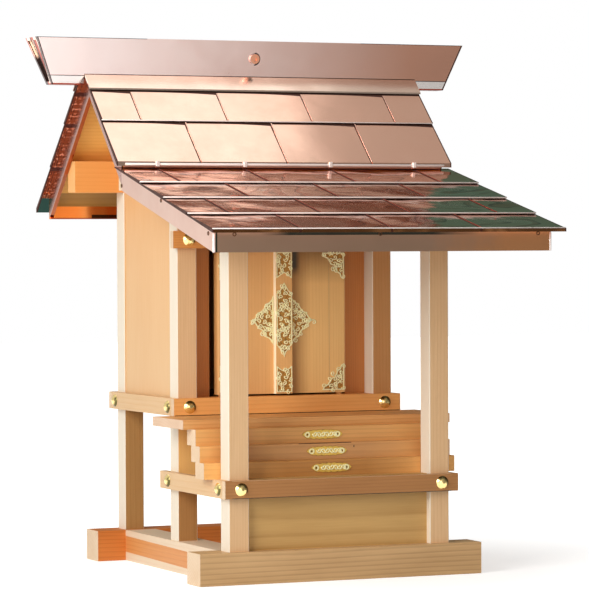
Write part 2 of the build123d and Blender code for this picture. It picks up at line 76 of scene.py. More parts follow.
# %% [markdown]
# Every finish below is a small graph of nodes. Wrapping a socket in a class that
# understands + - * / lets such a graph be written as a sum instead of being wired
# by hand: each operator quietly adds one Math node.

# %% A socket that can do sums
class Wire:
    def __init__(self, graph, socket):
        self.graph = graph
        self.socket = socket

    def __add__(self, other):
        return self.graph.math("ADD", self, other)

    def __radd__(self, other):
        return self.graph.math("ADD", other, self)

    def __sub__(self, other):
        return self.graph.math("SUBTRACT", self, other)

    def __rsub__(self, other):
        return self.graph.math("SUBTRACT", other, self)

    def __mul__(self, other):
        return self.graph.math("MULTIPLY", self, other)

    def __rmul__(self, other):
        return self.graph.math("MULTIPLY", other, self)

    def __truediv__(self, other):
        return self.graph.math("DIVIDE", self, other)

    def __gt__(self, other):
        return self.graph.math("GREATER_THAN", self, other)

    def __lt__(self, other):
        return self.graph.math("LESS_THAN", self, other)

    def __abs__(self):
        return self.graph.math("ABSOLUTE", self)


# %% [markdown]
# One method makes every other kind of node: its settings go in first, because they
# can change which sockets it has, and then the values and links of its sockets.

# %% A graph of nodes
class Graph:
    def __init__(self, tree):
        self.tree = tree
        tree.nodes.clear()

    def plug(self, socket, value):
        if isinstance(value, Wire):
            self.tree.links.new(value.socket, socket)
        else:
            socket.default_value = value

    def node(self, kind, settings=None, sockets=None, output=0):
        made = self.tree.nodes.new("ShaderNode" + kind)
        for key, value in (settings or {}).items():
            if key == "stops":
                while len(made.color_ramp.elements) < len(value):
                    made.color_ramp.elements.new(0.5)
                for element, (place, level) in zip(made.color_ramp.elements, value):
                    element.position = place
                    element.color = (level, level, level, 1)
            else:
                setattr(made, key, value)
        for key, value in (sockets or {}).items():
            self.plug(made.inputs[key], value)
        return Wire(self, made.outputs[output])

    def math(self, operation, a, b=0.0):
        return self.node("Math", {"operation": operation}, {0: a, 1: b})

    def clamp(self, value):
        return self.node("Clamp", {}, {"Value": value})

    def mix(self, factor, a, b):
        return self.node("Mix", {"data_type": "RGBA"}, {0: factor, 6: a, 7: b}, output=2)

    def noise(self, vector, scale, detail=2.0, roughness=0.5, distortion=0.0):
        return self.node("TexNoise", {}, {
            "Vector": vector, "Scale": scale, "Detail": detail,
            "Roughness": roughness, "Distortion": distortion,
        })

    def ramp(self, value, stops):
        return self.node("ValToRGB", {"stops": stops}, {"Fac": value})

    def place(self, scale=(1, 1, 1), shift=(0, 0, 0)):
        here = self.node("TexCoord", output="Object")
        return self.node("Mapping", {}, {"Vector": here, "Scale": scale, "Location": shift})

    def split(self, output="Object"):
        here = self.node("TexCoord", output=output)
        parts = self.tree.nodes.new("ShaderNodeSeparateXYZ")
        self.plug(parts.inputs[0], here)
        return [Wire(self, parts.outputs[i]) for i in range(3)]

    def ray(self, kind):
        return self.node("LightPath", output=f"Is {kind} Ray")

    def length(self, a, b):
        return self.math("SQRT", a * a + b * b)

    def show(self, surface, place="OutputMaterial"):
        self.plug(self.tree.nodes.new("ShaderNode" + place).inputs["Surface"], surface)


def new_material(name):
    material = bpy.data.materials.new(name)
    material.use_nodes = True
    return material, Graph(material.node_tree)


def rgba(colour):
    return (*colour, 1)


def between(value, low, high):
    return (value > low) * (value < high)


# %% [markdown]
# The studio is a white floor and a white surround. The camera sees them shine at a
# strength of one, and matt things are lit by them evenly and dimly. Polished copper
# only looks like copper when its room has light and dark parts, so what reflections
# see is a room: pale on the left, dim on the right, leafy green behind on the right,
# with a bright window in front on the left and an unlit corner high on the right.

# %% World
world = bpy.data.worlds.new("studio")
world.use_nodes = True
bpy.context.scene.world = world
sky = Graph(world.node_tree)

to_right, to_back, to_top = [part * 0.5 + 0.5 for part in sky.split("Generated")]
right_side = sky.ramp(to_right, [(0.45, 0.0), (0.66, 1.0)])
back_side = sky.ramp(to_back, [(0.6, 0.0), (0.8, 1.0)])
upper_side = sky.ramp(to_top, [(0.8, 0.0), (0.95, 1.0)])
left_panel = sky.ramp(to_right, [(0.06, 1.0), (0.12, 0.0)])
forward_side = sky.ramp(to_back, [(0.38, 1.0), (0.42, 0.0)])
dark_corner = sky.ramp(to_right, [(0.82, 0.0), (0.90, 1.0)])
rather_high = sky.ramp(to_top, [(0.60, 0.0), (0.65, 1.0)])

pale_grey, dim, leafy = rgba((0.72, 0.70, 0.68)), rgba((0.22, 0.20, 0.18)), rgba((0.08, 0.14, 0.10))
room = sky.mix(right_side, pale_grey, sky.mix(back_side, dim, leafy))
room = sky.mix(upper_side, room, rgba((0.5, 0.46, 0.42)))
room = sky.mix(left_panel * forward_side, room, rgba((1.8, 1.8, 1.75)))
room = sky.mix(dark_corner * rather_high, room, rgba((0.015, 0.02, 0.015)))

ambient = 0.30
shown = sky.clamp(sky.ray("Camera") + sky.ray("Transmission"))
lit = sky.mix(sky.ray("Glossy"), rgba((ambient, ambient, ambient * 0.97)), room)
colour = sky.mix(shown, lit, rgba((1, 1, 1)))
sky.show(sky.node("Background", {}, {"Color": colour, "Strength": 1.0}), "OutputWorld")
print("world: ambient", ambient)

# %% [markdown]
# The floor is white under the shrine, where it takes a soft shadow, and turns into
# plain white light further out, so that no horizon shows. Mirrors see it darken
# towards the right, which gives the ridge box its slow change of tone.

# %% Floor
bpy.ops.object.select_all(action="DESELECT")
bpy.ops.mesh.primitive_plane_add(size=14, location=(0, 0, 0))
floor = bpy.context.object
floor.name = "floor"
floor_finish, g = new_material("floor_white")
x, y, z = g.split()
distance = g.length(x, y)
near = g.ramp(distance * 0.5, [(0.12, 1.0), (0.4, 0.0)])
far = g.ramp(distance * 0.25, [(0.5, 0.0), (0.7, 0.4)])
fade = g.ramp(x * 0.5, [(0.16, 1.0), (0.21, 0.62), (0.294, 0.26), (0.38, 0.0)])
seen = g.clamp(g.ray("Camera") + g.ray("Transmission"))
lift = seen * (1 - near * 0.5) + g.ray("Glossy") * (fade + far)
matt = g.node("BsdfDiffuse", {}, {"Color": (0.82, 0.82, 0.82, 1)})
shine = g.node("Emission", {}, {"Color": (1, 1, 1, 1), "Strength": lift})
g.show(g.node("AddShader", {}, {0: matt, 1: shine}))
floor.data.materials.append(floor_finish)

# %% [markdown]
# Three soft lamps: a key close by on the left, which leaves the right-hand posts a
# little darker as in the photograph, a broad panel overhead whose edge shows as the
# change from cream to brown in the roof, and a weak fill in front.

# %% Lamps
def lamp(name, place, aim, size, watts, tint):
    light = bpy.data.lights.new(name, "AREA")
    light.shape = "RECTANGLE"
    light.size, light.size_y = size
    light.energy = watts
    light.color = tint
    holder = bpy.data.objects.new(name, light)
    bpy.context.scene.collection.objects.link(holder)
    holder.location = place
    holder.rotation_euler = (Vector(aim) - Vector(place)).to_track_quat("-Z", "Y").to_euler()


lamp("key", (-1.5, -0.85, 0.85), (0, 0, 0.25), (0.9, 0.9), 22.5, (1.0, 0.99, 0.97))
lamp("overhead", (-0.42, 0.0, 1.9), (-0.42, 0.0, 0), (2.2, 2.2), 13.5, (1.0, 0.99, 0.97))
lamp("fill", (-1.1, -3.2, 0.7), (0, 0, 0.25), (1.2, 1.2), 10.5, (1.0, 0.96, 0.90))

# %% [markdown]
# Cypress is pale, with thin reddish rings. A piece of wood is a stack of nested
# cylinders, its yearly rings, cut by flat faces. If the colour follows the distance from a
# pith line that lies outside the piece, the long faces show straight or arching
# lines and the ends show arcs, all of them meeting at the edges, as in real timber.
# along is the axis that the grain follows, and ring is the width of one year.

# %% Wood
X, Y, Z = 0, 1, 2


def wood(name, early, late, along, pith, ring, wander=0.004, depth=1.0, seed=0.0, tones=None):
    material, g = new_material(name)
    xyz = g.split()
    across = [xyz[i] for i in range(3) if i != along]
    stretch = [1.0, 1.0, 1.0]
    stretch[along] = 0.12
    slow = g.place(stretch, (seed, seed * 0.7, seed * 1.3))
    drift = g.noise(slow, 16.0, detail=2.0) - 0.5
    radius = g.length(across[0] - pith[0], across[1] - pith[1]) + drift * wander * 2
    year = g.math("FRACT", radius / ring)
    line = g.ramp(year, [(0.0, 0.35), (0.1, 0.0), (0.6, 0.18), (0.93, 1.0), (1.0, 0.35)])
    stretch[along] = 0.03
    fibre = g.noise(g.place(stretch), 700.0, detail=3.0, roughness=0.6)
    stretch[along] = 0.25
    patch = g.noise(g.place(stretch, (seed, 0.3, 0.1)), 30.0, detail=3.0)
    amount = g.clamp(line * 0.34 * depth + (patch - 0.5) * 0.9 * depth + (fibre - 0.5) * 0.5 + 0.25)
    light_part, dark_part = rgba(early), rgba(late)
    if tones:
        for test, pale, strong in tones(g, *xyz):
            light_part = g.mix(test, light_part, rgba(pale))
            dark_part = g.mix(test, dark_part, rgba(strong))
    colour = g.mix(amount, light_part, dark_part)
    height = line * 0.6 + fibre * 0.8
    bump = g.node("Bump", {}, {"Strength": 0.35, "Distance": 0.00025, "Height": height})
    surface = g.node("BsdfPrincipled", {}, {
        "Base Color": colour, "Roughness": 0.42 + fibre * 0.22, "Normal": bump,
    })
    g.show(surface)
    return material


def dress(node, material):
    if not nodes[node].material_slots:
        nodes[node].data.materials.append(material)
    for slot in nodes[node].material_slots:
        slot.material = material


# %% [markdown]
# The cheeks of the posts, the faces to the left and right, are painted the palest cream
# of all, a painted highlight of the light from the left, and their fronts are tan. The
# cheeks are found by how far a point is from the middle of its post, so both posts of a
# pair share one finish. Under the rails the main and rear posts are painted brown as
# shade, the main posts' fronts between the rails are painted bright orange as bounced
# light, and the right main post is painted darker above them, as shade in the recess.

# %% Posts
cream, cream_line = (0.87, 0.79, 0.66), (0.82, 0.69, 0.52)
tan, tan_line = (0.84, 0.55, 0.30), (0.64, 0.36, 0.16)
post_middle, cheek = 0.108, 0.0098
lower_rail_foot, upper_rail_foot = 0.0835, 0.157


# cheeks: a painted highlight, pale where the light from the left falls
def cheeks(g, x, y, z):
    off_middle = abs(abs(x) - post_middle)
    return [(off_middle > cheek, cream, cream_line)]


# painted bounce light between the rails, painted shade below them and beside the door
def main_post_tones(g, x, y, z):
    under_veranda = between(z, lower_rail_foot, upper_rail_foot)
    beside_door = (x > 0) * (z > upper_rail_foot)
    return [(under_veranda, (1.0, 0.62, 0.22), (0.96, 0.52, 0.16)),
            (z < lower_rail_foot, (0.50, 0.25, 0.08), (0.35, 0.15, 0.04)),
            (beside_door, (0.62, 0.30, 0.10), (0.46, 0.18, 0.04)), *cheeks(g, x, y, z)]


# painted shade under the rails
def rear_post_tones(g, x, y, z):
    return [(z < upper_rail_foot, (0.50, 0.27, 0.09), (0.36, 0.16, 0.04)), *cheeks(g, x, y, z)]


posts = {
    "rear_posts": ((0.73, 0.45, 0.20), (0.56, 0.30, 0.11), rear_post_tones),
    "main_posts": (tan, tan_line, main_post_tones),
    "porch_posts": (tan, tan_line, cheeks),
}
for number, (node, (early, late, tones)) in enumerate(posts.items()):
    dress(node, wood(f"cypress_{node}", early, late, Z, (0.02, -0.09 + 0.03 * number), 0.0026,
                     depth=0.6, seed=number + 0.3, tones=tones))

# %% [markdown]
# The ends of the long pieces are end grain, paler here. Other tones are painted light and
# shade: the steps are painted warmer and brighter towards their ends and painted in shade
# beside the left post, a painted shadow line marks the foot of both rails, and a painted
# highlight runs along the top of the lower rail. The middle step has a small knot, and a
# painted shadow line under the step above it.

# %% Tones of the long pieces
end_depth = 0.0004


def pale_ends(half_length, pale=(0.82, 0.64, 0.45), strong=(0.68, 0.44, 0.24)):
    def tones(g, x, y, z):
        return [(abs(x) > half_length - end_depth, pale, strong)]
    return tones


def end_of(node, *colours):
    return pale_ends(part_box(node)[1].x, *colours)


# painted light towards the ends, painted shade beside the post; the knot is wood, the gap line a painted shadow
def step_tones(warmth):
    def tones(g, x, y, z):
        patch = g.noise(g.place((0.3, 1, 1)), 26.0, detail=2.0)
        outer = g.clamp((abs(x) - 0.045) / 0.075 + (patch - 0.5) * 0.6)
        near_post = g.clamp(1.2 - abs(x + 0.088) / 0.02) * (z > 0.117) * 0.8
        knot = g.length((x - 0.0297) * 2, z - 0.1285) < 0.0012
        gap = between(z, 0.1320, 0.1326) * between(x, -0.03, 0.027)
        return [(outer * warmth, (0.98, 0.52, 0.17), (0.80, 0.38, 0.10)),
                (near_post, (0.50, 0.23, 0.08), (0.40, 0.17, 0.05)),
                (g.clamp(knot + gap), (0.06, 0.03, 0.015), (0.03, 0.015, 0.01)),
                *end_of("step_lower")(g, x, y, z)]
    return tones


# painted shadow line where the rail meets the veranda
def upper_rail_tones(g, x, y, z):
    contact_shadow = (z < 0.1583) * (x > -0.124)
    return [(contact_shadow, (0.07, 0.05, 0.02), (0.03, 0.02, 0.01)), *end_of("upper_rail_front")(g, x, y, z)]


# painted shadow line at the foot, painted highlight along the top
def lower_rail_tones(g, x, y, z):
    low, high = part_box("lower_rail_front")
    inside = abs(x) < 0.1180
    return [((z < low.z + 0.0007) * inside, (0.05, 0.03, 0.015), (0.03, 0.02, 0.01)),
            ((z > high.z - 0.0006) * inside * 0.6, (0.72, 0.46, 0.26), (0.60, 0.34, 0.16)),
            *end_of("lower_rail_front")(g, x, y, z)]


# %% [markdown]
# Each beam, rail and step has its own two colours, its own place in the log and its own
# width of yearly ring.

# %% Beams, rails and steps
orange, orange_line = (0.84, 0.37, 0.10), (0.60, 0.20, 0.03)
amber, amber_line = (0.80, 0.41, 0.14), (0.56, 0.22, 0.05)
brown, brown_line = (0.45, 0.20, 0.06), (0.32, 0.13, 0.035)
long_pieces = {
    "base_front_beam": ((0.70, 0.44, 0.21), (0.40, 0.22, 0.08), (-0.075, 0.055), 0.0030),
    "base_rear_beam": ((0.70, 0.22, 0.035), (0.46, 0.11, 0.01), (0.135, -0.01), 0.0034),
    "lower_rail_front": (brown, brown_line, (-0.09, 0.03), 0.0028),
    "upper_rail_front": ((0.96, 0.48, 0.15), (0.78, 0.32, 0.07), (0.05, 0.13), 0.0024),
    "upper_rail_rear": (amber, amber_line, (0.10, 0.12), 0.0024),
    "head_rail": (orange, orange_line, (0.03, 0.27), 0.0024),
    "step_lower": ((0.56, 0.25, 0.06), (0.38, 0.16, 0.04), (-0.05, 0.07), 0.0030),
    "step_middle": ((0.66, 0.33, 0.12), (0.46, 0.21, 0.07), (-0.15, 0.10), 0.0026),
    "step_upper": ((0.76, 0.38, 0.12), (0.50, 0.24, 0.07), (-0.03, 0.09), 0.0032),
    "veranda_board": (amber, amber_line, (0.0, 0.05), 0.0030),
    "front_plate": (orange, (0.76, 0.31, 0.07), (0.0, 0.43), 0.0028),
    "rear_plate": (orange, (0.76, 0.31, 0.07), (0.20, 0.43), 0.0028),
    "porch_beam": (amber, amber_line, (-0.09, 0.28), 0.0028),
    "porch_panel": ((0.66, 0.40, 0.14), (0.44, 0.23, 0.06), (-0.30, 0.10), 0.0042),
}
own_tones = {
    "rear_plate": end_of("rear_plate", (0.93, 0.50, 0.18), (0.85, 0.40, 0.12)),
    "step_lower": step_tones(1.0),
    "step_middle": step_tones(0.75),
    "step_upper": step_tones(0.5),
    "upper_rail_front": upper_rail_tones,
    "lower_rail_front": lower_rail_tones,
    "veranda_board": pale_ends(0.1454, (0.78, 0.56, 0.39), (0.66, 0.42, 0.26)),
}
for number, (node, (early, late, pith, ring)) in enumerate(long_pieces.items()):
    dress(node, wood(f"cypress_{node}", early, late, X, pith, ring, seed=number * 1.7,
                     depth=1.15, tones=own_tones.get(node, end_of(node))))
print("long pieces:", len(long_pieces))

# %% [markdown]
# The side beams of the base have pale bands along the top and the bottom of their outer
# faces, slanting so that each grows towards one end, with orange between them.

# %% Side beams of the base and side rails
def side_beam_bands(g, x, y, z):
    forward = (0.154 - y) / 0.25
    top_band = z > 0.0255 - forward * 0.003
    low_band = z < 0.009 - forward * 0.0035
    return [(g.clamp(top_band + low_band), (0.84, 0.68, 0.50), (0.78, 0.56, 0.36))]


dress("base_side_beams", wood("cypress_base_side_beams", (0.74, 0.32, 0.10), (0.58, 0.20, 0.04), Y,
                              (0.0, -0.08), 0.003, tones=side_beam_bands))
straw, straw_line = (0.76, 0.52, 0.29), (0.66, 0.39, 0.17)
for node, pith in (("lower_rail_sides", (0.0, 0.02)), ("upper_rail_sides", (0.03, 0.26))):
    dress(node, wood(f"cypress_{node}", straw, straw_line, Y, pith, 0.0026, depth=0.8, seed=pith[1] * 9))

# %% [markdown]
# The walls are thin boards set upright, quarter-sawn, so their lines are straight.
# They are painted more orange at the top than at the foot, a painted shade from the roof.
# The roof boards are yellower, with painted shade where they come down to the eaves.

# %% Walls and boards
# painted shade from the roof, stronger towards the top
def painted_roof_shade(g, x, y, z):
    height = g.clamp((z - 0.2) / 0.22)
    return [(height, (0.82, 0.48, 0.22), (0.72, 0.36, 0.13))]


def low_shade(g, x, y, z):
    return [(z < 0.3835, (0.44, 0.24, 0.06), (0.30, 0.15, 0.03))]


for number, node in enumerate(("side_wall_left", "side_wall_right")):
    dress(node, wood(f"cypress_{node}", (0.80, 0.53, 0.28), (0.72, 0.42, 0.19), Z, (0.0, 0.5), 0.0021,
                     wander=0.003, depth=0.7, seed=3.0 + number, tones=painted_roof_shade))
# these boards share a deep orange, dark enough to stand in as painted shade in the recess beside the doors
upright_boards = {"rear_wall": (0.4, 0.2), "front_boards": (0.3, 0.1), "transom_board": (0.3, 0.1)}
for node, pith in upright_boards.items():
    dress(node, wood(f"cypress_{node}", (0.66, 0.26, 0.07), (0.48, 0.16, 0.03), Z, pith, 0.0024, depth=0.8))
roof_boards = {"roof_board_front": 0.2, "roof_board_rear": 0.1, "porch_board": 0.4, "floor_board": 0.3}
for node, height in roof_boards.items():
    dress(node, wood(f"cypress_{node}", (0.92, 0.54, 0.15), (0.74, 0.37, 0.07), X, (0.1, height), 0.0030,
                     tones=low_shade))
dress("door_sill", wood("cypress_door_sill", orange, orange_line, X, (0.1, 0.1), 0.0026))
dress("door_lintel", wood("cypress_door_lintel", brown, brown_line, X, (0.1, 0.2), 0.0026))

# %% [markdown]
# The two door leaves are the smoothest wood of all, with hair-fine upright grain. On
# the right leaf a faint joint shows between two boards and its hinge edge is pale, and it
# is painted dark as shadow under the roof, beside the strip and in the hollow at its top.
# The strip's left edge is painted cream, a painted highlight of the light from the left.

# %% Doors
# painted shadows under the roof, beside the strip and in the hollow at the strip's top
def right_leaf_tones(g, x, y, z):
    hinge_edge = x > 0.0704
    joint = abs(x - 0.0525) < 0.0004
    roof_shadow = g.clamp((z - 0.288) / 0.032) * 0.85
    strip_shadow = g.clamp((0.032 - x) / 0.020) * 0.8
    hollow = g.clamp((z - 0.296) / 0.010) * g.clamp((0.021 - x) / 0.006) * 0.9
    return [(hinge_edge, (1.0, 0.68, 0.40), (0.95, 0.60, 0.32)),
            (joint * 0.6, (0.5, 0.3, 0.14), (0.4, 0.2, 0.1)),
            (roof_shadow, (0.28, 0.14, 0.035), (0.18, 0.08, 0.02)),
            (strip_shadow, (0.32, 0.14, 0.03), (0.24, 0.10, 0.02)),
            (hollow, (0.012, 0.018, 0.010), (0.008, 0.010, 0.006))]


# painted highlight on the face that turns to the light from the left
def strip_tones(g, x, y, z):
    return [(x < -0.0090, (1.0, 0.90, 0.66), (1.0, 0.84, 0.56))]


dress("door_left", wood("cypress_door_left", (0.86, 0.48, 0.185), (0.71, 0.35, 0.10), Z, (0.1, 0.25),
                        0.0018, wander=0.002, depth=0.55))
dress("door_right", wood("cypress_door_right", (0.96, 0.595, 0.225), (0.82, 0.455, 0.15), Z, (-0.1, 0.25),
                         0.0018, wander=0.002, depth=0.55, tones=right_leaf_tones))
dress("astragal", wood("cypress_astragal", (0.88, 0.50, 0.185), (0.74, 0.37, 0.11), Z, (0.1, 0.12),
                       0.0022, wander=0.002, depth=0.6, tones=strip_tones))

# %% [markdown]
# The roof is built up of courses of copper sheet, each lapped over the one below.
# A few heights and depths of that build-up are needed twice, for the finish and for
# the seams, so the two roof planes are written down as functions of y.

# %% The two roof planes
ridge_y, ridge_z = 0.1025, 0.5115
eave_y, eave_z, rise = -0.246, 0.3438, 0.255
sheet_pitch, roof_half = 0.0945, 0.185
front_laps = [0.0777, 0.0464, 0.0032]
rear_laps = [0.1273, 0.1586, 0.2023, 0.246]
porch_laps = [0.0032 - 0.0623 * i for i in range(5)]


def steep(y):
    return ridge_z - abs(y - ridge_y)


def shallow(y):
    return eave_z + rise * (y - eave_y)


# %% [markdown]
# Below each lap a thin dark red-brown line is painted as the shadow in the gap under the
# sheet above; it is a wedge, wider towards one end of every sheet. The same line marks
# the dark joint along each seam and at both verges.

# %% Lines between the sheets
# below the laps: painted shadow in the gaps; along seams and verges: dark joints
def lap_shadows_and_joints(g, x, y, z, laps, plane, way, seam_width):
    row = 0.0
    for lap in laps[1:-1]:
        row = ((y * -way) > (lap * -way)) + row
    stagger = g.math("MODULO", row, 2.0) * 0.5
    along = g.math("FRACT", x / sheet_pitch + stagger + 10.0)
    width = 0.0004 + g.math("POWER", g.math("FRACT", along + 0.5), 3.0) * 0.0022
    below = plane(y) - z
    line = (abs(x) > roof_half - 0.0013) + between(along, 0.494 - seam_width, 0.494)
    for lap in laps[:-1]:
        beyond = (y - lap) * -way
        line = between(beyond, -0.0032, width) * (below > 0.0011) + line
    return g.clamp(line)


# %% [markdown]
# The sheet is polished but not quite flat, so reflections wander in slow waves, and
# handling has left soft smudges. A part can have marks painted over that.

# %% Copper
def copper(name, tone, rough=0.1, wave=1.0, fine=0.07, metal=1.0, paint=None,
           laps=(), plane=None, way=1, seam_width=0.012):
    material, g = new_material(name)
    x, y, z = g.split()
    smudge = g.noise(g.place(), 24.0, detail=4.0, roughness=0.6)
    darker = (tone[0] * 0.7, tone[1] * 0.52, tone[2] * 0.46)
    colour = g.mix(g.clamp((smudge - 0.5) * 0.75 + 0.1), rgba(tone), rgba(darker))
    if paint:
        for amount, dye in paint(g, x, y, z):
            colour = g.mix(amount, colour, rgba(dye))
    line = 0.0
    if laps:
        line = lap_shadows_and_joints(g, x, y, z, laps, plane, way, seam_width)
        colour = g.mix(line * 0.94, colour, rgba((0.06, 0.018, 0.014)))
    swell = g.noise(g.place((1, 1, 1), (0.2, 0.1, 0.4)), 13.0, detail=1.0)
    ripple = g.noise(g.place(), 55.0, detail=1.0)
    height = swell + ripple * fine
    bump = g.node("Bump", {}, {"Strength": 1.0, "Distance": 0.0012 * wave, "Height": height})
    surface = g.node("BsdfPrincipled", {}, {
        "Base Color": colour, "Metallic": metal, "Roughness": rough + smudge * 0.1 + line * 0.4, "Normal": bump,
    })
    g.show(surface)
    return material


# %% [markdown]
# On the porch wandering dark red swirls with pale borders are painted over the finish as
# painted reflections, a little fainter in the top course, which is painted a brighter orange
# as painted light; a dull painted tone over all, laid on less in the lower courses, dims
# the reflections. The undersides of the sheets, where they pass the verge and the rear
# eave, are streaked dark brown with bright specks. The front slope is painted more orange
# towards the right, a painted reflection. The front of the porch fascia is painted brown on
# the left and orange on the right as painted shade, with painted shadow lines at its left
# corner and under the eave edge, and the inside of the rear of the main fascia is bright
# orange, with painted shade in its middle.

# %% Marks on the slopes and bands
verge_x, rear_board_y = 0.1772, 0.2270


# painted reflections: swirls, a brighter top course and a dulling tone
def swirls(g, x, y, z):
    flow = g.noise(g.place((0.55, 1.2, 1)), 18.0, detail=0.6, roughness=0.4, distortion=0.5)
    ring = g.math("FRACT", flow * 7.0 + 0.2)
    calm = g.ramp(g.noise(g.place((1, 1, 1), (0.1, 0.2, 0)), 17.0), [(0.40, 0.1), (0.50, 1.0)])
    first = y > -0.059
    lip = y < -0.2455
    share = calm * (1 - first * 0.2)
    dark = g.ramp(ring, [(0.0, 0.0), (0.04, 1.0), (0.10, 1.0), (0.15, 0.0)])
    red = g.ramp(ring, [(0.10, 0.0), (0.15, 1.0), (0.28, 0.9), (0.36, 0.0)])
    pale_reflection = g.ramp(ring, [(0.36, 0.0), (0.42, 1.0), (0.54, 0.0)])
    low_courses = y < -0.121
    return [(0.75 - low_courses * 0.4, (0.66, 0.45, 0.37)), (first * 0.85, (1.0, 0.50, 0.36)),
            (pale_reflection * share * 0.5, (1.0, 0.82, 0.74)), (red * share * 0.75, (0.60, 0.18, 0.10)),
            (dark * share * 0.85, (0.24, 0.045, 0.025)), (lip, (0.30, 0.13, 0.05))]


def verge_under(g, x, y, z):
    down = g.split("Normal")[2] < -0.3
    under = g.clamp((abs(x) > verge_x) + (y > rear_board_y)) * down
    streak = g.math("FRACT", (abs(x) - verge_x) / 0.0027 + g.noise(g.place(), 60.0) * 0.5) < 0.32
    grain = g.noise(g.place(), 260.0, detail=3.0) > 0.45
    specks = g.noise(g.place((1, 1, 1), (0.3, 0.1, 0.2)), 330.0, detail=2.0) > 0.60
    return [(under, (0.19, 0.05, 0.02)), (under * specks * 0.5, (0.90, 0.45, 0.30)),
            (under * streak * grain * 0.9, (0.03, 0.012, 0.01)),
            (under * (y > 0.2310), (0.02, 0.05, 0.04))]


# painted reflection: more orange towards the right
def front_tones(g, x, y, z):
    return [(g.clamp((x + 0.06) / 0.12) * 0.6, (0.93, 0.54, 0.40)), *verge_under(g, x, y, z)]


# painted shade on the front, painted shadow lines at the corner and under the eave edge
def porch_fascia_tones(g, x, y, z):
    front = y < -0.2284
    patch = g.noise(g.place(), 60.0, detail=3.0)
    right = g.clamp((x - 0.04) / 0.09 + (patch - 0.5) * 0.8)
    corner_line = between(x, -0.1750, -0.1733) * front
    under_edge = (z > 0.3380) * g.clamp((x + 0.13) / 0.03) * g.clamp((0.10 - x) / 0.05) * front
    return [(front * 0.95, (0.40, 0.25, 0.165)), (front * right * 0.95, (0.66, 0.30, 0.13)),
            (g.clamp(corner_line + under_edge), (0.04, 0.045, 0.035))]


# painted shade in the middle of the bright orange inside band
def main_fascia_tones(g, x, y, z):
    inner = between(y, 0.2250, 0.2264)
    shade = (abs(x) < 0.1300) * (z < 0.3610)
    return [(abs(x) > 0.1771, (0.74, 0.48, 0.42)), (inner, (1.0, 0.40, 0.12)),
            (inner * shade, (0.10, 0.05, 0.03))]


# %% [markdown]
# The ridge box is painted from pale pink on the left to brown on the right, a painted
# reflection. Its folded ends have a dark seam round the face, a painted white highlight on
# the lower hem and painted bands of reflection inside the hollow, and its boss is redder,
# with a painted crescent of shadow. The flashing is painted dark beside the box, a painted
# shade.

# %% Marks on the ridge box
box_foot, foot_half_length, foot_half_width = 0.492, 0.2205, 0.008
end_flare, side_flare = 0.4, 0.19
boss_z, boss_radius = 0.521, 0.0050


# painted white highlight on the hem and painted reflection bands inside the hollow
def end_marks(g, x, y, z):
    from_end = (z - box_foot) * end_flare + foot_half_length - abs(x)
    half_width = (z - box_foot) * side_flare + foot_half_width
    from_ridge = y - ridge_y
    across = from_ridge / half_width
    overhang = abs(x) > 0.1860
    face_seam = between(from_end, 0.0004, 0.0017)
    hem = (z < 0.5012) * overhang * (from_end > 0.0017)
    hem_seam = between(z, 0.5008, 0.5016) * overhang
    top_seam = (z > 0.5389) * (abs(x) > 0.1200) * (across < -0.9)
    low = g.clamp((0.522 - z) / 0.004)
    inside = (from_end < 0.0002) + (from_end < 0.0034) * ((half_width - abs(from_ridge)) > 0.0028)
    red_band = between(across, -0.25, 0.15) + (across > 0.85)
    dark_band = between(across, 0.15, 0.32) + (across < -0.72) + (across > 0.32) * low
    return [(hem, (1.0, 0.93, 0.90)), (inside, (0.96, 0.74, 0.60)),
            (g.clamp(red_band * inside + (z < 0.4934) * overhang), (0.46, 0.08, 0.045)),
            (g.clamp(dark_band * inside + face_seam + hem_seam + top_seam) * 0.95, (0.04, 0.025, 0.025))]


def boss_marks(g, x, y, z):
    away = g.length(x, z - boss_z)
    rim_shadow = between(away, boss_radius, boss_radius + 0.0017) * (x > 0.0)
    return [(away < boss_radius, (0.92, 0.42, 0.26)), (rim_shadow, (0.05, 0.03, 0.03))]


# painted reflection: pale on the left, brown on the right
def ridge_box_tones(g, x, y, z):
    return [(g.clamp((-0.06 - x) / 0.1), (1.0, 0.82, 0.78)),
            (g.clamp((x + 0.02) / 0.2), (0.64, 0.33, 0.23)),
            *end_marks(g, x, y, z), *boss_marks(g, x, y, z)]


# painted shade beside the box
def flashing_tones(g, x, y, z):
    return [(abs(y - ridge_y) < 0.0110, (0.10, 0.06, 0.05))]


# %% [markdown]
# The steep slopes are the palest and the flattest, the porch is warmer and more
# uneven, and the bands round the boards have a duller polish than the sheets.

# %% The roof in its copper
pale, warm = (0.95, 0.68, 0.55), (0.93, 0.56, 0.43)
coppers = {
    "copper_front": copper("copper_front_slope", pale, wave=0.5, paint=front_tones,
                           laps=front_laps, plane=steep),
    "copper_rear": copper("copper_rear_slope", pale, wave=0.5, paint=verge_under,
                          laps=rear_laps, plane=steep, way=-1),
    "copper_porch": copper("copper_porch_slope", warm, rough=0.05, wave=3.6, fine=0.08, paint=swirls,
                           laps=porch_laps, plane=shallow, seam_width=0.024),
    "porch_fascia": copper("copper_porch_fascia", (0.93, 0.66, 0.55), rough=0.26, wave=0.5,
                           paint=porch_fascia_tones),
    "ridge_flashing": copper("copper_ridge_flashing", (0.98, 0.78, 0.66), rough=0.14, wave=0.5,
                             paint=flashing_tones),
    "ridge_box": copper("copper_ridge_box", (0.95, 0.72, 0.66), rough=0.2, wave=0.5,
                        paint=ridge_box_tones),
    "main_fascia": copper("copper_main_fascia", (0.42, 0.14, 0.07), rough=0.16,
                          paint=main_fascia_tones),
}
for node, finish in coppers.items():
    dress(node, finish)
print("copper finishes:", len([m for m in bpy.data.materials if m.name.startswith("copper")]))

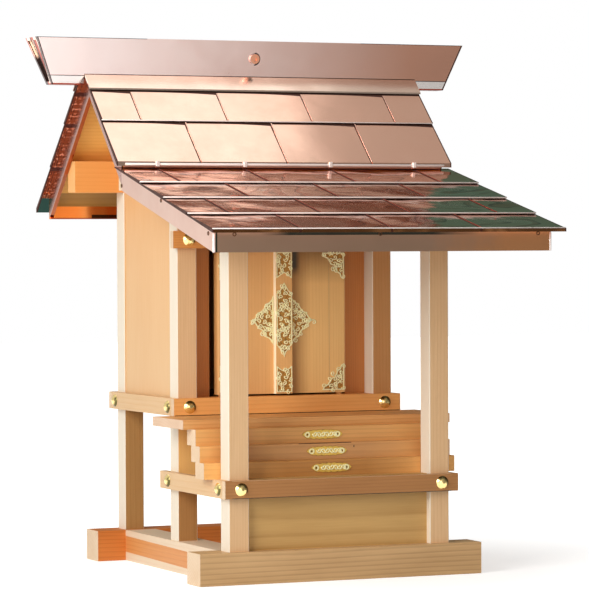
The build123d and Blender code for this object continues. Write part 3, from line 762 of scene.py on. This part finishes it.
# %% [markdown]
# The fittings and the domed nail covers are gilt brass, with darker spots at random. The
# thin brown sheets behind the pierced fittings have tarnish spots and stand in as painted
# shade between the scrolls. The domes have a painted dark rim, a painted shade on the side
# that turns from the light, found by the direction that their surface faces.

# %% Brass
# painted shade on the rim that turns from the light
def dome_rim_shade(g):
    across, out, up = g.split("Normal")
    sideways = abs(g.split()[0]) > 0.1254
    low_front = g.clamp((out * -0.7 - up) * 3.0 + 0.6)
    side_rim = g.ramp(abs(across), [(0.76, 1.0), (0.92, 0.0)]) * low_front * sideways
    shaded_part = g.clamp((across * 0.7 + up) * 3.0 + 0.4)
    front_rim = g.ramp(abs(out), [(0.80, 1.0), (0.93, 0.0)]) * shaded_part * (1 - sideways)
    return side_rim + front_rim


def brass(name, tone, shade, rough=0.2, metal=0.85, spots=1.6, domes=False):
    material, g = new_material(name)
    dirt = g.noise(g.place(), 420.0, detail=3.0)
    colour = g.mix(g.clamp((dirt - 0.5) * spots), rgba(tone), rgba(shade))
    if domes:
        colour = g.mix(dome_rim_shade(g) * 0.93, colour, rgba((0.06, 0.05, 0.012)))
    bump = g.node("Bump", {}, {"Strength": 0.4, "Distance": 0.0002, "Height": dirt})
    surface = g.node("BsdfPrincipled", {}, {
        "Base Color": colour, "Metallic": metal, "Roughness": rough + dirt * 0.2, "Normal": bump,
    })
    g.show(surface)
    return material


# brown brass with tarnish spots; as the sheets behind pierced fittings and round the step plates it stands in as
# painted shade
tarnish_and_shade = brass("brass_tarnish_and_shade", (0.50, 0.24, 0.04), (0.05, 0.03, 0.008), 0.4, 0.2, spots=3.5)
mellow = brass("brass_mellow", (0.80, 0.54, 0.10), (0.36, 0.22, 0.03), 0.3, 0.3)
gilt = brass("brass_gilt", (1.0, 0.97, 0.60), (0.94, 0.74, 0.20), 0.2, 0.12, spots=2.5)
bronze = brass("brass_screws", (0.12, 0.06, 0.03), (0.05, 0.03, 0.02), 0.4)
dome_brass = brass("brass_nail_covers", (0.96, 0.76, 0.32), (0.78, 0.55, 0.18), rough=0.05, domes=True)
dress("nail_covers", dome_brass)
for node in ("riser_plates", "door_plates_left", "door_plates_right"):
    dress(node, gilt)
print("brass finishes:", len([m for m in bpy.data.materials if m.name.startswith("brass")]))

# %% [markdown]
# The small fittings are built from a few simple moves: copying a pattern, and making
# a bevelled rod or block, given in metres like the model. The brass plates are drawn
# in millimetres, which mm() turns into metres.

# %% Simple shapes
def mm(*values):
    return Vector([v / 1000 for v in values])


def deselect():
    bpy.ops.object.select_all(action="DESELECT")


def another(pattern, matrix):
    copy = pattern.copy()
    copy.data = pattern.data.copy()
    bpy.context.scene.collection.objects.link(copy)
    copy.matrix_world = matrix
    return copy


def rod(radius, length, place, upright=False, facing=False):
    deselect()
    turn = (math.pi / 2, 0, 0) if facing else (0, 0 if upright else math.pi / 2, 0)
    bpy.ops.mesh.primitive_cylinder_add(vertices=12, radius=radius, depth=length, location=place, rotation=turn)
    bpy.ops.object.mode_set(mode="EDIT")
    bpy.ops.mesh.bevel(offset=radius * 0.2, segments=1)
    bpy.ops.object.mode_set(mode="OBJECT")
    bpy.ops.object.shade_smooth()
    return bpy.context.object


def block(size, place, bevel):
    deselect()
    bpy.ops.mesh.primitive_cube_add(size=1, location=place)
    bpy.ops.object.mode_set(mode="EDIT")
    bpy.ops.mesh.select_all(action="SELECT")
    bpy.ops.transform.resize(value=size, center_override=place)
    bpy.ops.mesh.bevel(offset=bevel, segments=2)
    bpy.ops.object.mode_set(mode="OBJECT")
    return bpy.context.object


# %% [markdown]
# The door fittings are thin gilt brass, pierced, with running scrolls inside a narrow rim;
# a thin dark sheet behind them stands in as painted shade between the scrolls. A rim could
# be cut from a solid with Booleans, but it is simpler to draw its outline as one does by
# hand, extruding a vertex from point to point, to fill it, and to inset and remove the middle.

# %% Rims
def draw_outline(points, y):
    deselect()
    start = mm(points[0][0], y, points[0][1])
    bpy.ops.mesh.primitive_plane_add(size=0.001, location=start)
    bpy.ops.object.mode_set(mode="EDIT")
    bpy.ops.mesh.merge(type="CENTER")
    for (x0, z0), (x1, z1) in zip(points, points[1:]):
        bpy.ops.mesh.extrude_vertices_move(TRANSFORM_OT_translate={"value": mm(x1 - x0, 0, z1 - z0)})
    bpy.ops.mesh.select_all(action="SELECT")
    bpy.ops.mesh.edge_face_add()
    return bpy.context.object


def thicken(depth):
    bpy.ops.object.mode_set(mode="EDIT")
    bpy.ops.mesh.select_all(action="SELECT")
    bpy.ops.mesh.extrude_region_move(TRANSFORM_OT_translate={"value": mm(0, -depth, 0)})
    bpy.ops.mesh.select_all(action="SELECT")
    bpy.ops.mesh.normals_make_consistent(inside=False)
    bpy.ops.object.mode_set(mode="OBJECT")


def rim(points, y, width, depth=0.9):
    piece = draw_outline(points, y)
    bpy.ops.mesh.inset(thickness=width / 1000, use_even_offset=True)
    bpy.ops.mesh.delete(type="FACE")
    thicken(depth)
    return piece


def ground(points, y, depth=0.2):
    piece = draw_outline(points, y)
    thicken(depth)
    return piece


def scallop(corners, steps, bulge=0.22):
    """Points of an outline whose sides bow outwards between the corners, in little lobes."""
    points = []
    for (x0, z0), (x1, z1) in zip(corners, corners[1:]):
        for i in range(steps):
            t = i / steps
            out = bulge * 4 * t * (1 - t)
            points.append((x0 + (x1 - x0) * t + (z0 - z1) * out, z0 + (z1 - z0) * t + (x1 - x0) * out))
    return points + [corners[-1]]


# %% [markdown]
# Each scroll is a hook made of two half turns. A small circle is spun half round
# one centre, then half round a nearer one, and so on, growing thinner each time, and
# it ends in a round bud. A small leaf sprouts near its root. Every other scroll on
# the shrine is a copy of this one.

# %% One scroll
def make_scroll(radius=2.9, wire=0.9):
    deselect()
    bpy.ops.mesh.primitive_circle_add(vertices=6, radius=wire / 1000, fill_type="NGON",
                                      location=mm(radius, 0, 0))
    bpy.ops.object.mode_set(mode="EDIT")
    x, way = radius, -1
    for share in (1.0, 0.6):
        reach = radius * share
        bpy.ops.mesh.spin(steps=6, angle=math.pi, center=mm(x + way * reach, 0, 0), axis=(0, -1, 0))
        x += 2 * way * reach
        bpy.ops.transform.resize(value=(0.78, 0.78, 0.78), center_override=mm(x, 0, 0))
        way = -way
    bpy.ops.mesh.primitive_ico_sphere_add(subdivisions=1, radius=wire * 1.25 / 1000, location=mm(x, 0, 0))
    bpy.ops.transform.resize(value=(1, 0.6, 1), center_override=mm(x, 0, 0))
    leaf = mm(radius * 0.9, 0, radius * -0.35)
    bpy.ops.mesh.primitive_ico_sphere_add(subdivisions=1, radius=0.0012, location=leaf)
    bpy.ops.transform.resize(value=(0.75, 0.5, 1.5), center_override=leaf)
    bpy.ops.mesh.select_all(action="SELECT")
    bpy.ops.mesh.normals_make_consistent(inside=False)
    bpy.ops.object.mode_set(mode="OBJECT")
    bpy.ops.object.shade_smooth()
    return bpy.context.object


scroll = make_scroll()
scroll.name = "scroll_pattern"
print("scroll faces:", len(scroll.data.polygons))


def place_scroll(x, y, z, size, turn, flip):
    half_turn = Matrix.Rotation(math.pi if flip else 0, 4, "Z")
    lay = Matrix.Rotation(math.radians(turn), 4, "Y") @ half_turn
    return another(scroll, Matrix.Translation(mm(x, y, z)) @ lay @ Matrix.Scale(size / 3.6, 4))


def scroll_field(columns, ends, y, size=2.5, pitch=4.1):
    """Columns of scrolls between two heights, every other one turned over."""
    laid = []
    for column, x in enumerate(columns):
        low, high = ends(x)
        count = max(1, int((high - low) / pitch))
        for row in range(count):
            z = low + (row + 0.5) * (high - low) / count
            laid.append(place_scroll(x, y - 0.45, z, size, 110 * row + 50 * column, (row + column) % 2 == 0))
    return laid


# %% [markdown]
# Every piece is joined from its parts, gets one finish and is told which body it
# rides on; the solid that it stands for is hidden.

# %% Finishing a piece
def finish_piece(parts, name, body, replaced, finish):
    deselect()
    for part in parts:
        part.select_set(True)
    bpy.context.view_layer.objects.active = parts[0]
    if len(parts) > 1:
        bpy.ops.object.join()
    bpy.ops.object.transform_apply(location=True, rotation=True, scale=True)
    piece = bpy.context.object
    piece.name = name
    piece.data.name = name
    piece.data.materials.clear()
    piece.data.materials.append(finish)
    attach(piece, body)
    if replaced:
        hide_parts(replaced)
    print(name, "faces:", len(piece.data.polygons))


# %% [markdown]
# The strip that covers the joint of the doors has a long pointed plate in its middle
# and a short one at each end, notched like a fish tail.

# %% Plates on the covering strip
strip_y, half = 14.5, 8.4
long_plate = scallop([(-half, 226.5), (-half, 279.0), (-4.6, 282.4), (0, 290.2), (4.6, 282.4), (half, 279.0)], 1)
long_plate += scallop([(half, 226.5), (4.8, 222.6), (0, 214.2), (-4.8, 222.6)], 2, -0.12)
parts = [rim(long_plate, strip_y, 0.9)]
strip_shade_grounds = [ground(long_plate, strip_y)]
strip_columns = (-5.1, 0, 5.1)
parts += scroll_field(strip_columns, lambda x: (215.5 + 1.5 * abs(x), 288.5 - 1.6 * abs(x)), strip_y)
for edge, notch, way in ((321.0, 300.0, -1), (178.6, 200.2, 1)):
    low = edge + way * 26.6
    short_plate = [(-half, edge), (-half, low), (-3.6, low - way * 3.4), (0, notch),
                   (3.6, low - way * 3.4), (half, low), (half, edge)]
    parts.append(rim(short_plate, strip_y, 0.9))
    strip_shade_grounds.append(ground(short_plate, strip_y))
    reach = sorted((edge, notch + way * 1.5))
    parts += scroll_field(strip_columns, lambda x: reach, strip_y)
finish_piece(parts, "strip_fittings", "left_leaf", "door_plates_left", gilt)
finish_piece(strip_shade_grounds, "strip_shade_grounds", "left_leaf", "door_plates_left", tarnish_and_shade)

# %% [markdown]
# Each leaf has a half lozenge beside the strip and a triangle in each outer corner.
# What is on the left is the mirror image of what is on the right.

# %% Plates on the leaves
leaf_y = 19.5
lozenge_edge = [(10.0, 226.0), (19.0, 234.8), (19.6, 237.6), (27.6, 243.4), (28.4, 246.2), (36.6, 251.5),
                (28.4, 256.8), (27.6, 259.6), (19.6, 265.4), (19.0, 268.2), (10.0, 277.0)]
corner_edge = [(44.6, 0), (51.0, 6.4), (52.2, 8.2), (58.6, 13.6), (60.0, 16.2), (64.4, 22.0), (69.0, 27.4)]


def leaf_fittings(side, body, replaced):
    points = [(side * x, z) for x, z in scallop(lozenge_edge, 3, 0.16)]
    pieces = [rim(points, leaf_y, 1.2)]
    grounds = [ground(points, leaf_y)]
    columns = [side * x for x in (12.6, 17.0, 21.4, 25.8, 30.2, 34.4)]
    pieces += scroll_field(columns, lambda x: (216.4 + abs(x), 286.6 - abs(x)), leaf_y)
    columns = [side * x for x in (66.2, 61.8, 57.4, 53.0, 48.6)]
    for base, way in ((179.3, 1), (320.3, -1)):
        edge = scallop(corner_edge, 2, 0.2)
        points = [(side * x, base + way * z) for x, z in edge] + [(side * 69.0, base)]
        pieces.append(rim(points, leaf_y, 1.2))
        grounds.append(ground(points, leaf_y))
        pieces += scroll_field(columns, lambda x: sorted((base, base + way * 1.1 * (abs(x) - 42.0))), leaf_y)
    finish_piece(pieces, f"leaf_fittings_{body}", body, replaced, gilt)
    finish_piece(grounds, f"leaf_shade_grounds_{body}", body, replaced, tarnish_and_shade)


leaf_fittings(-1, "left_leaf", "door_plates_left")
leaf_fittings(1, "right_leaf", "door_plates_right")

# %% [markdown]
# The three plates on the steps are solid, with a nail eye at each end and scrolls in
# relief between them. All are alike, each set back by a tread and raised by the height
# of a step from the one below.

# %% Plates on the steps
riser_y, riser_z = -100.4, 108.9
tread, step_height = 10.6, 15.8
eye_x, scroll_xs = 16.4, (-10.8, -6.5, -2.2, 2.2, 6.5, 10.8)
lens_top = [(-21.7, 0), (-17.2, 3.2), (-12.6, 3.5), (-6.3, 3.9), (0, 4.0),
            (6.3, 3.9), (12.6, 3.5), (17.2, 3.2), (21.7, 0)]
lens_edge = lens_top + [(x, -z) for x, z in lens_top[7:0:-1]]
step_parts, step_grounds, step_shade_borders, step_eyes = [], [], [], []
for step in range(3):
    y, z = riser_y + tread * step, riser_z + step_height * step
    shifted = [(px, z + pz) for px, pz in scallop(lens_edge, 2, 0.1)]
    widened = [(px * 1.02, z + (pz - z) * 1.13) for px, pz in shifted]
    step_grounds += [ground(shifted, y, 0.45), rim(shifted, y, 0.8, 0.8)]
    # a thin dark sheet a little larger than each plate: a painted shade round its edge
    step_shade_borders.append(ground(widened, y, 0.15))
    for number, x in enumerate(scroll_xs):
        lift = 0.6 * (-1) ** number
        step_parts.append(place_scroll(x, y - 0.55, z + lift, 3.0, 180 * number, number % 2 == 0))
    for x in (-eye_x, eye_x):
        deselect()
        bpy.ops.mesh.primitive_torus_add(major_segments=16, minor_segments=6, major_radius=0.0023,
                                         minor_radius=0.0008, location=mm(x, y - 0.45, z),
                                         rotation=(math.pi / 2, 0, 0))
        step_parts.append(bpy.context.object)
        step_eyes.append(rod(0.0009, 0.0006, mm(x, y - 0.75, z), facing=True))
finish_piece(step_parts, "step_fittings", "shrine", "riser_plates", gilt)
finish_piece(step_grounds, "step_grounds", "shrine", "riser_plates", mellow)
finish_piece(step_shade_borders, "step_plate_shade_borders", "shrine", "riser_plates", tarnish_and_shade)
finish_piece(step_eyes, "step_plate_nails", "shrine", "riser_plates", bronze)

# %% [markdown]
# Small screws hold the copper fascia to the boards. Each is a pan head with a dished
# middle, copied along the front, both sides and the back.

# %% Screws in the fascia
def select_top(limit):
    bpy.ops.object.mode_set(mode="EDIT")
    bpy.ops.mesh.select_all(action="DESELECT")
    bpy.ops.object.mode_set(mode="OBJECT")
    for face in bpy.context.object.data.polygons:
        face.select = face.normal.z > limit
    bpy.ops.object.mode_set(mode="EDIT")


def make_screw():
    deselect()
    bpy.ops.mesh.primitive_cylinder_add(vertices=16, radius=0.0021, depth=0.0009, location=mm(0, 0, 0.45))
    select_top(0.9)
    bpy.ops.mesh.bevel(offset=0.0004, segments=2)
    select_top(0.99)
    bpy.ops.mesh.inset(thickness=0.0005)
    bpy.ops.mesh.inset(thickness=0.0003, depth=-0.0006)
    bpy.ops.object.mode_set(mode="OBJECT")
    return bpy.context.object


screw = make_screw()
screw.name = "screw_pattern"
fascia_half, fascia_front, fascia_back = 0.1773, -0.229, 0.227
spots = [((x, fascia_front, 0.339), (0, -1, 0)) for x in (-0.156, -0.006, 0.163)]
spots += [((x, fascia_back, 0.369), (0, 1, 0)) for x in (-0.156, 0.0, 0.156)]
for side in (-1, 1):
    for y, z in ((0.0104, 0.388), (-0.0965, 0.372), (-0.2167, 0.340)):
        spots.append(((side * fascia_half, y, z), (side, 0, 0)))
screws = []
for place, facing in spots:
    turn = Vector(facing).to_track_quat("Z", "Y").to_matrix().to_4x4()
    screws.append(another(screw, Matrix.Translation(place) @ turn))
finish_piece(screws, "fascia_screws", "shrine", None, bronze)

# %% [markdown]
# Neighbouring sheets are joined by a narrow folded seam that stands a little proud.
# One seam is shaped from a cube, its edges rounded, and copied along every course in
# the staggered pattern of the sheets, lying on that course's own slope.

# %% Folded seams
seam_thick, seam_length = 0.0012, 0.06
even_row, odd_row = (-1.5, -0.5, 0.5, 1.5), (-1, 0, 1)


def make_seam():
    deselect()
    bpy.ops.mesh.primitive_cube_add(size=1)
    bpy.ops.object.mode_set(mode="EDIT")
    bpy.ops.mesh.select_all(action="SELECT")
    bpy.ops.transform.resize(value=(seam_thick, seam_length, seam_thick))
    bpy.ops.mesh.bevel(offset=0.0003, segments=2)
    bpy.ops.object.mode_set(mode="OBJECT")
    return bpy.context.object


seam = make_seam()
seam.name = "seam_pattern"


def lay_seams(plane, laps, top_depth=0.0022):
    laid = []
    for course, (upper, lower) in enumerate(zip(laps, laps[1:])):
        start = Vector((0, upper, plane(upper) - top_depth))
        end = Vector((0, lower, plane(lower)))
        run = start - end
        turn = run.to_track_quat("Y", "Z").to_matrix().to_4x4()
        stretch = Matrix.Diagonal((1, (run.length - 0.0008) / seam_length, 1, 1))
        for step in even_row if course % 2 == 0 else odd_row:
            middle = (start + end) / 2 + Vector((step * sheet_pitch, 0, 0.0001))
            laid.append(another(seam, Matrix.Translation(middle) @ turn @ stretch))
    return laid


seam_finish = copper("copper_seams", (0.95, 0.62, 0.5), rough=0.12, wave=0.2)
finish_piece(lay_seams(steep, front_laps), "seams_front", "shrine", None, seam_finish)
finish_piece(lay_seams(steep, rear_laps), "seams_rear", "shrine", None, seam_finish)
dull_seam_finish = copper("copper_porch_seams", (0.50, 0.13, 0.08), rough=0.2, wave=0.2)
finish_piece(lay_seams(shallow, porch_laps), "seams_porch", "shrine", None, dull_seam_finish)

# %% [markdown]
# In front the lower edges of the courses are hemmed, and the hem's round nose catches
# the light as a thin white line above the dark gap; the hems, beads and eave roll are
# given a paler, less metallic copper, a painted highlight. Beads close the two front
# corners of the fascia, and a strip of copper closes the step between roof and porch.

# %% Hems, corner beads and upstand
hem_length, lowest_hem_y = 0.3696, -0.2451
# paler, less metallic copper: a painted highlight on the hems, corner beads, eave roll and clips
hem_highlight_finish = copper("copper_hems_highlight", (1.0, 0.90, 0.86), rough=0.16, wave=0.2, metal=0.25)
hems = [rod(0.0006, hem_length, (0, front_laps[1], steep(front_laps[1]) - 0.0006))]
hems += [rod(0.0008, hem_length, (0, lap, shallow(lap) - 0.0007)) for lap in porch_laps[1:-1]]
hems += [rod(0.0008, hem_length, (0, lowest_hem_y, shallow(lowest_hem_y) + 0.0001))]
hems += [rod(0.0014, 0.0180, (side * 0.1765, -0.2282, 0.3312), upright=True) for side in (-1, 1)]
finish_piece(hems, "copper_hem_lines", "shrine", None, hem_highlight_finish)
upstand_finish = copper("copper_upstand", (1.0, 0.42, 0.28), rough=0.3)
upstand = block((0.3500, 0.0006, 0.0036), (0, 0.0098, 0.4072), 0.0002)
finish_piece([upstand], "upstand", "shrine", None, upstand_finish)

# %% [markdown]
# The edge of the steep roof, just above the porch, is rolled and held by four clips.
# The roll is a rod with rounded ends, and the clips are short bevelled straps.

# %% Rolled eave with clips
roll_parts = [rod(0.0014, 0.352, (0, 0.0031, 0.4094))]
for step in even_row:
    roll_parts.append(block((0.0036, 0.0026, 0.0056), (step * sheet_pitch, 0.0022, 0.4099), 0.0005))
# the roll and clips take the hems' paler copper, a painted highlight
finish_piece(roll_parts, "eave_roll", "shrine", None, hem_highlight_finish)

# %% [markdown]
# The patterns that were copied are no longer needed.

# %% Remove the patterns
for pattern in (scroll, screw, seam):
    bpy.data.objects.remove(pattern)
